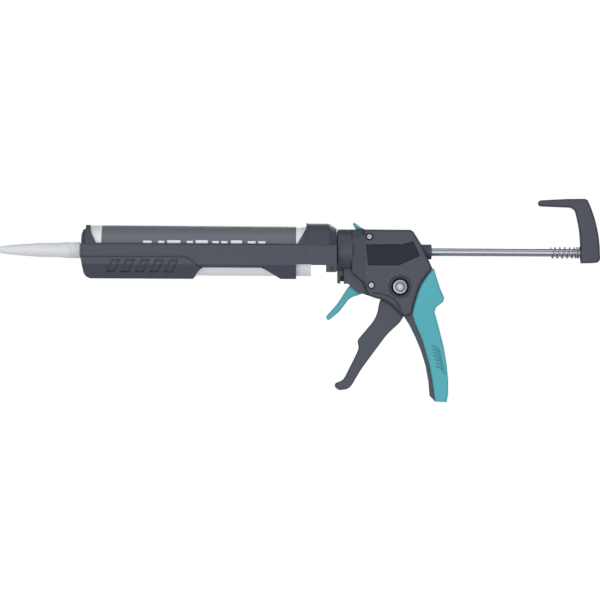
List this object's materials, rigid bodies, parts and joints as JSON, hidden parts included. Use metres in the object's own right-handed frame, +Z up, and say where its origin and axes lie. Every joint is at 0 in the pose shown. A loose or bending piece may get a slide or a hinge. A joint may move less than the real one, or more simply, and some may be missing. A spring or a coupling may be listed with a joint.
{
  "type": "caulking gun",
  "caption": "Cartridge caulking gun with a turning half-round cradle, a sliding rod with a pull hook, a squeeze lever and a release trigger.",
  "frame": {"origin": "centre of the nozzle's outlet, on the rod's axis", "axes": "+X from the nozzle back to the hook, +Z up, handle towards -Z, gun's left side towards -Y"},
  "size_m": [0.5997, 0.0584, 0.2035],
  "materials": {
    "casing_plastic": "fine moulded texture",
    "cradle_plastic": "fine moulded texture",
    "lever_plastic": "fine moulded texture",
    "soft_grip": "soft, matt",
    "teal_plastic": "smooth, satin",
    "cartridge_plastic": "smooth",
    "cartridge_label": "printed wrap, satin",
    "nozzle_plastic": "milky, smooth",
    "rod_chrome": "bright drawn steel",
    "panel_plastic": "finely grained insert",
    "hook_plastic": "fine moulded texture",
    "spring_steel": "bright wire",
    "zinc_steel": "zinc plated"
  },
  "bodies": {
    "housing": {"housing_left": "casing_plastic", "housing_right": "casing_plastic", "panel_left": "panel_plastic", "panel_right": "panel_plastic", "grip_left": "soft_grip", "grip_right": "soft_grip", "housing_screws": "zinc_steel", "drip_stop_pin": "zinc_steel", "release_pin": "zinc_steel", "pivot_bolt": "zinc_steel", "pivot_nut": "zinc_steel", "pivot_sleeve": "zinc_steel", "rear_guide_sleeve": "casing_plastic", "swivel_hub": "zinc_steel", "swivel_nut": "zinc_steel", "swivel_washer": "zinc_steel", "drive_spring": "spring_steel", "brake_spring": "spring_steel"},
    "cradle_group": {"cradle": "cradle_plastic", "cradle_screws": "zinc_steel", "cartridge_tube": "cartridge_plastic", "cartridge_label": "cartridge_label", "cartridge_plunger": "cartridge_plastic", "nozzle": "nozzle_plastic"},
    "piston": {"piston_plate": "zinc_steel", "piston_washer": "zinc_steel"},
    "rod": {"push_rod": "rod_chrome", "piston_nut": "zinc_steel", "pull_hook": "hook_plastic", "hook_pin": "zinc_steel", "rod_spring": "spring_steel"},
    "squeeze_lever": {"trigger": "lever_plastic"},
    "drive": {"drive_plate": "zinc_steel"},
    "release": {"release_trigger": "teal_plastic"},
    "brake": {"brake_plate": "zinc_steel"},
    "drip_tab": {"drip_stop_tab": "teal_plastic"}
  },
  "joints": [
    {"name": "cradle_turn", "type": "hinge", "parent": "housing", "child": "cradle_group", "pos_m": [0.3381, 0, 0], "axis": [1, 0, 0], "continuous": true},
    {"name": "rod_slide", "type": "slide", "parent": "housing", "child": "piston", "axis": [-1, 0, 0], "range_m": [-0.085, 0.118]},
    {"name": "rod_turn", "type": "hinge", "parent": "piston", "child": "rod", "pos_m": [0.2281, 0, 0], "axis": [1, 0, 0], "range_deg": [-120, 120]},
    {"name": "trigger_squeeze", "type": "hinge", "parent": "housing", "child": "squeeze_lever", "pos_m": [0.3995, 0, -0.035], "axis": [0, -1, 0], "range_deg": [0, 30], "stiffness_Nm_per_rad": 1, "springref_deg": -17.19},
    {"name": "drive_plate_slide", "type": "slide", "parent": "housing", "child": "drive", "axis": [-1, 0, 0], "range_m": [0, 0.0182], "deforming": ["drive_spring"]},
    {"name": "release_pull", "type": "hinge", "parent": "housing", "child": "release", "pos_m": [0.3709, 0, -0.0336], "axis": [0, -1, 0], "range_deg": [0, 12], "stiffness_Nm_per_rad": 0.1, "springref_deg": -11.46},
    {"name": "brake_tilt", "type": "hinge", "parent": "housing", "child": "brake", "pos_m": [0.3541, 0, 0.007], "axis": [0, 1, 0], "range_deg": [0, 12.2], "deforming": ["brake_spring"]},
    {"name": "drip_stop_press", "type": "hinge", "parent": "housing", "child": "drip_tab", "pos_m": [0.3687, 0, 0.0147], "axis": [0, -1, 0], "range_deg": [0, 14]}
  ],
  "couplings": [
    {"joint": "drive_plate_slide", "follows": "trigger_squeeze", "m_per_rad": 0.0346},
    {"joint": "brake_tilt", "follows": "release_pull", "ratio": 1}
  ]
}
